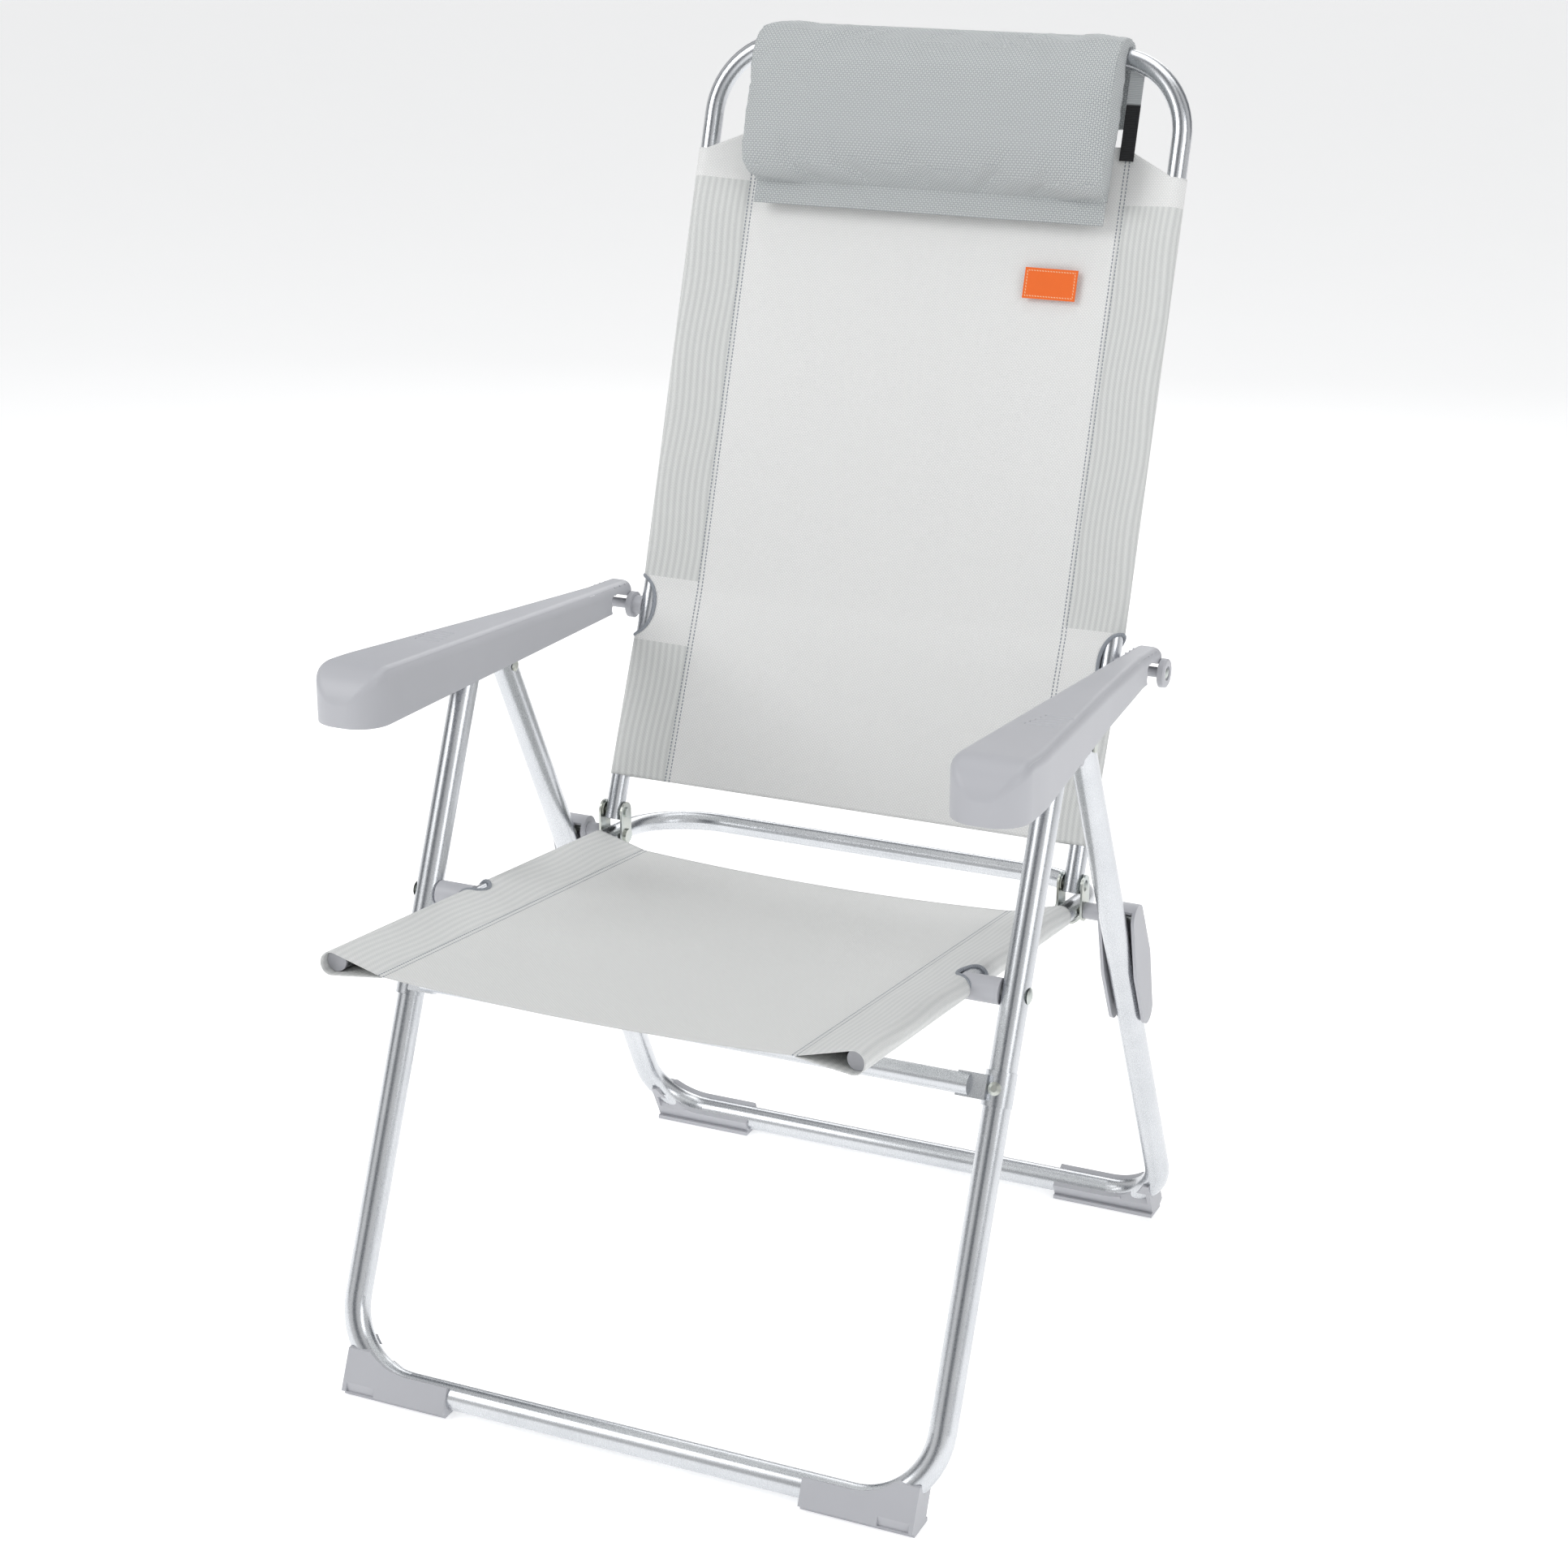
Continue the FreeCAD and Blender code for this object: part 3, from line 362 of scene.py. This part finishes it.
def woven(name, thread, shade, gap, strips, single=()):
    """Coated mesh: threads over and under each other, the under threads painted a little darker as shade,
    with small gaps where they cross painted grey as the shade seen through them, double-layer side
    strips painted greyer, with faint long ripples, as the shade between the two layers, and two rows
    of stitching at each seam.
    single lists the runs where the strips are one layer."""
    mat, tree, shader = new_material(name, Roughness=0.55, IOR=1.46)
    u, v, over, hole = weave(tree, PITCH, 0.12, 0.55)
    # painted shade: the crossings where the other thread lies on top are drawn in the darker shade colour
    colour = blend_colour(tree, over, shade, thread)
    # painted shade: the gaps between the threads are filled with a darker grey for the shade seen through
    # the mesh
    colour = blend_colour(tree, calc(tree, "MULTIPLY", hole, 0.8), colour, gap)
    # painted shade: past the seam, where the cloth lies double, the colour is drawn greyer with faint long
    # ripples for the shade between the two layers
    out = calc(tree, "ABSOLUTE", u)
    band = ramp(tree, out, SEAM - 0.001, SEAM + 0.001)
    for low, high in single:
        lit = calc(tree, "MULTIPLY", ramp(tree, v, low - 0.001, low), ramp(tree, v, high + 0.001, high))
        band = calc(tree, "MULTIPLY", band, calc(tree, "SUBTRACT", 1.0, lit))
    sway = calc(tree, "MULTIPLY", calc(tree, "SINE", calc(tree, "MULTIPLY", v, 46.0)), 1.3)
    ripple = calc(tree, "SINE", calc(tree, "ADD", calc(tree, "MULTIPLY", u, 950.0), sway))
    double_layer_shade = blend_colour(tree, ramp(tree, ripple, -1.0, 1.0), strips[0], strips[1])
    colour = blend_colour(tree, calc(tree, "MULTIPLY", band, 0.72), colour, double_layer_shade)
    dash = ramp(tree, calc(tree, "SINE", calc(tree, "MULTIPLY", v, 2 * pi / 0.0036)), -0.7, -0.3)
    rows = 0.0
    for offset in (-0.0022, 0.0022):
        near = calc(tree, "ABSOLUTE", calc(tree, "SUBTRACT", out, SEAM + offset))
        rows = calc(tree, "ADD", rows, calc(tree, "MULTIPLY", ramp(tree, near, 0.0009, 0.0004), dash))
    colour = blend_colour(tree, rows, colour, "8E949B")
    height = calc(tree, "ADD", calc(tree, "SUBTRACT", over, hole), calc(tree, "MULTIPLY", rows, 2.0))
    tree.links.new(colour, shader.inputs["Base Color"])
    bump(tree, shader, height, 0.0002, 0.7)
    return mat


thread_grey, tree, shader = new_material("grey_overlock_thread", Roughness=0.8)
place = add(tree, "ShaderNodeTexCoord").outputs["Object"]
WINDING = {"Scale": 320.0, "Distortion": 2.0, "Detail": 1.0}
turns = add(tree, "ShaderNodeTexWave", WINDING, Vector=place).outputs["Fac"]
tree.links.new(blend_colour(tree, turns, "868B93", "A9AEB5"), shader.inputs["Base Color"])
bump(tree, shader, turns, 0.0004, 0.8)


SEAT_DEPTH = 0.500
HEM_AHEAD = 0.246    # front hem ahead of the front pin


def seat_at(run):
    """Rail axis point and upward direction at this distance back from the front hem."""
    back = Vector((0, cos(SLOPE), -sin(SLOPE)))
    return SEAT_PIN + back * (run - HEM_AHEAD), Vector((0, sin(SLOPE), cos(SLOPE)))


SEAT_CUT = (0.2555, 0.020)    # middle of the openings from the front hem, and half their length
seat_section = cross_section(-0.009)
seat_piece, pin_u = cover("seat_cover_cloth", seat_section, lambda u: SEAT_DEPTH, seat_at, *SEAT_CUT)
seat_rings = edgings("seat_overlock", seat_section, seat_at, pin_u, *SEAT_CUT)
thicken(seat_piece, 0.0009)
# after the thread colour come the painted under-thread shade, the painted gap shade and the two painted
# shades of the double-layer strips
seat_mesh = woven("pvc_coated_seat_mesh", "E6E6E4", "D9DAD9", "B7B9BA", ("CFD1D0", "DDDEDD"))
seat_piece.data.materials.append(seat_mesh)
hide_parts("seat_cover")
for ring in seat_rings:
    ring.data.materials.append(thread_grey)
for piece in [seat_piece, *seat_rings]:
    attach(piece, "seat")

KINK_RUN = 0.234
LOW_UP = Vector((0, sin(LEAN_LOW), cos(LEAN_LOW)))
HIGH_UP = Vector((0, sin(LEAN_HIGH), cos(LEAN_HIGH)))
KINK = BACK_PIN + LOW_UP * KINK_RUN
HEM_RUN = 0.037
BACK_LENGTH = 0.643
BACK_CLIMB = 0.027
BACK_CUT = (0.175, 0.031)


def back_at(run):
    """Upright axis point and forward direction at this distance up from the bottom hem."""
    beyond = run + HEM_RUN - KINK_RUN
    turn = min(1.0, max(0.0, 0.5 + beyond / 0.04))
    lean = LEAN_LOW + (LEAN_HIGH - LEAN_LOW) * turn
    centre = KINK + (LOW_UP if beyond < 0 else HIGH_UP) * beyond
    return centre, Vector((0, -cos(lean), sin(lean)))


def back_length(u):
    """The cover's top edge climbs from the tube towards the cushion."""
    return BACK_LENGTH + BACK_CLIMB * min(1.0, max(0.0, (TUBE_X - u) / 0.055))


back_section = cross_section(-0.004)
back_piece, pin_u = cover("back_cover_cloth", back_section, back_length, back_at, *BACK_CUT)
back_rings = edgings("back_overlock", back_section, back_at, pin_u, *BACK_CUT)
thicken(back_piece, 0.0009)
# after the thread colour come the painted under-thread shade, the painted gap shade and the two painted
# shades of the double-layer strips
back_mesh = woven("pvc_coated_back_mesh", "EDEDEC", "E2E2E1", "C4C6C6", ("BFC1C0", "D6D8D6"),
                  ((0.140, 0.206), (0.615, 0.70)))
back_piece.data.materials.append(back_mesh)
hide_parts("back_cover")
for ring in back_rings:
    ring.data.materials.append(thread_grey)
for piece in [back_piece, *back_rings]:
    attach(piece, "backrest")

# ------------------------------------------------------------------ the head cushion
# A soft pad in a sewn mesh case that hooks over the top bar: a full front, a fold line low down,
# end panels with a seam all round, a thin flap behind and a flat hem tab below.
BAR_Z = 1.172
TOP = KINK + HIGH_UP * ((BAR_Z - KINK.z) / HIGH_UP.z)
AHEAD = Vector((0, -cos(LEAN_HIGH), sin(LEAN_HIGH)))
END = 0.1865          # half length
HELD_AHEAD = 0.0135   # what lies nearer the bar than this stays put
MOST_SWELL = 0.008
HEM_DROP = 0.138      # top of the flat hem below the bar
CASE_PITCH = 0.0021   # thread spacing
# Outline of the pad from the side, as (ahead of the bar, above the bar): front, over the top, flap
# behind, then back up inside and round the bar.
PAD = [(0.0115, -0.142), (0.030, -0.138), (0.047, -0.127), (0.0505, -0.118), (0.053, -0.070),
       (0.0515, -0.020), (0.047, -0.004), (0.037, 0.008), (0.020, 0.0165), (0.004, 0.0185),
       (-0.010, 0.0150), (-0.0178, 0.004), (-0.0185, -0.010), (-0.0180, -0.066), (-0.0112, -0.070),
       (-0.0110, -0.004), (-0.0078, 0.0078), (0.0, 0.0110), (0.0078, 0.0078), (0.0112, -0.002)]


def pad_block():
    bm = bmesh.new()
    left = [bm.verts.new(TOP + AHEAD * a + HIGH_UP * r + Vector((-END, 0, 0))) for a, r in PAD]
    right = [bm.verts.new(v.co + Vector((2 * END, 0, 0))) for v in left]
    for i in range(len(PAD)):
        j = (i + 1) % len(PAD)
        bm.faces.new((left[i], left[j], right[j], right[i]))
    bm.faces.new(left[::-1])
    bm.faces.new(right)
    bmesh.ops.recalc_face_normals(bm, faces=bm.faces[:])
    mesh = bpy.data.meshes.new("head_cushion_case")
    bm.to_mesh(mesh)
    bm.free()
    block = bpy.data.objects.new("head_cushion_case", mesh)
    bpy.context.scene.collection.objects.link(block)
    return block


cushion = pad_block()
deselect()
cushion.select_set(True)
bpy.context.view_layer.objects.active = cushion
bpy.ops.object.modifier_add(type="REMESH")
cushion.modifiers[-1].mode = "VOXEL"
cushion.modifiers[-1].voxel_size = 0.0038
bpy.ops.object.modifier_apply(modifier=cushion.modifiers[-1].name)
before = [v.co.copy() for v in cushion.data.vertices]
bpy.ops.object.modifier_add(type="CLOTH")
cloth = cushion.modifiers[-1]
cloth.settings.use_pressure = True
cloth.settings.uniform_pressure_force = 4.0
cloth.settings.effector_weights.gravity = 0.0
cloth.settings.tension_stiffness = 12.0
cloth.settings.shrink_min = -0.03
cloth.point_cache.frame_start = 1
cloth.point_cache.frame_end = 20
held = cushion.vertex_groups.new(name="held")
still = [i for i, co in enumerate(before) if (co - TOP).dot(AHEAD) < HELD_AHEAD]
held.add(still, 1.0, "REPLACE")
cloth.settings.vertex_group_mass = "held"
for step in range(1, 21):
    bpy.context.scene.frame_set(step)
bpy.ops.object.modifier_apply(modifier=cloth.name)
bpy.context.scene.frame_set(1)
for vert, co in zip(cushion.data.vertices, before):
    moved = vert.co - co
    if moved.length > MOST_SWELL:
        vert.co = co + moved.normalized() * MOST_SWELL
bpy.ops.object.modifier_add(type="SMOOTH")
cushion.modifiers[-1].iterations = 3
bpy.ops.object.modifier_apply(modifier=cushion.modifiers[-1].name)
bpy.ops.object.shade_smooth()

layer = cushion.data.uv_layers.new(name="cloth")
for poly in cushion.data.polygons:
    flat_end = abs(poly.normal.x) > 0.75
    for k in poly.loop_indices:
        co = cushion.data.vertices[cushion.data.loops[k].vertex_index].co
        a, r = (co - TOP).dot(AHEAD), (co - TOP).dot(HIGH_UP)
        fall = abs(poly.normal.dot(HIGH_UP)) > 0.75
        layer.data[k].uv = (a if flat_end else co.x, a if fall and not flat_end else r)

case, tree, shader = new_material("grey_cushion_mesh", Roughness=0.6, IOR=1.46)
u, v, over, gaps = weave(tree, CASE_PITCH, 0.10, 0.50)
# painted shade: the under threads are drawn darker and the gaps between threads darker still, for the shade
# on the weave and inside the case
colour = blend_colour(tree, over, "B0B4B5", "C6C9C9")
colour = blend_colour(tree, gaps, colour, "7F858B")
tree.links.new(colour, shader.inputs["Base Color"])
bump(tree, shader, calc(tree, "SUBTRACT", over, gaps), 0.0003, 0.8)
cushion.data.materials.append(case)
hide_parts("head_cushion")
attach(cushion, "backrest")

# The flat hem below the pad: both layers of the case sewn together, lying on the back cover.
deselect()
bpy.ops.mesh.primitive_grid_add(x_subdivisions=60, y_subdivisions=6, size=1)
tab = bpy.context.object
tab.name = "cushion_hem_tab"
layer = tab.data.uv_layers.active
layer.name = "cloth"
for vert in tab.data.vertices:
    x, r = vert.co.x * 2 * (END - 0.002), -HEM_DROP - (0.5 - vert.co.y) * 0.026
    wave = 0.0008 * sin(x * 60) * (0.5 - vert.co.y)
    vert.co = TOP + HIGH_UP * r + AHEAD * (0.0128 + wave) + Vector((x, 0, 0))
for poly in tab.data.polygons:
    for k in poly.loop_indices:
        co = tab.data.vertices[tab.data.loops[k].vertex_index].co
        layer.data[k].uv = (co.x, (co - TOP).dot(HIGH_UP))
thicken(tab, 0.0016)
tab.data.materials.append(case)
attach(tab, "backrest")

# ------------------------------------------------------------------ straps and label
# Each strap beside the cushion is mesh tape above and black elastic below; the label is a blank
# orange tab of woven tape with a stitched border.
tape, tree, shader = new_material("strap_tape_and_black_elastic", Roughness=0.7)
place = add(tree, "ShaderNodeTexCoord").outputs["Object"]
spot = add(tree, "ShaderNodeSeparateXYZ", Vector=place)
ribs = calc(tree, "SINE", calc(tree, "MULTIPLY", spot.outputs[2], 2 * pi / 0.0016))
upper = ramp(tree, spot.outputs[2], 1.129, 1.131)
elastic = blend_colour(tree, ramp(tree, ribs, -1.0, 1.0), "0C0C0D", "26272A")
mesh_tape = blend_colour(tree, ramp(tree, ribs, -1.0, 1.0), "A5A9AC", "C2C5C6")
tree.links.new(blend_colour(tree, upper, elastic, mesh_tape), shader.inputs["Base Color"])
bump(tree, shader, ribs, 0.0002, 0.6)
paint(tape, "cover_straps")

label, tree, shader = new_material("orange_woven_label", Roughness=0.6)
place = add(tree, "ShaderNodeTexCoord").outputs["Object"]
spot = add(tree, "ShaderNodeSeparateXYZ", Vector=place)
lo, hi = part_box("back_label")
inset = []
for i, (a, b) in enumerate(((lo.x, hi.x), (lo.z, hi.z))):
    side = calc(tree, "ABSOLUTE", calc(tree, "SUBTRACT", spot.outputs[i * 2], (a + b) / 2))
    inset.append(calc(tree, "SUBTRACT", (b - a) / 2, side))
rim = calc(tree, "ABSOLUTE", calc(tree, "SUBTRACT", calc(tree, "MINIMUM", *inset), 0.0026))
walk = calc(tree, "ADD", spot.outputs[0], spot.outputs[2])
dash = ramp(tree, calc(tree, "SINE", calc(tree, "MULTIPLY", walk, 2 * pi / 0.0028)), -0.3, 0.1)
stitch = calc(tree, "MULTIPLY", ramp(tree, rim, 0.0006, 0.0003), dash)
twill = calc(tree, "SINE", calc(tree, "MULTIPLY", walk, 2 * pi / 0.0008))
cloth_colour = blend_colour(tree, ramp(tree, twill, -1.0, 1.0), "EE6417", "F8741F")
tree.links.new(blend_colour(tree, stitch, cloth_colour, "F7C9A0"), shader.inputs["Base Color"])
bump(tree, shader, calc(tree, "ADD", twill, stitch), 0.0001, 0.5)
paint(label, "back_label")
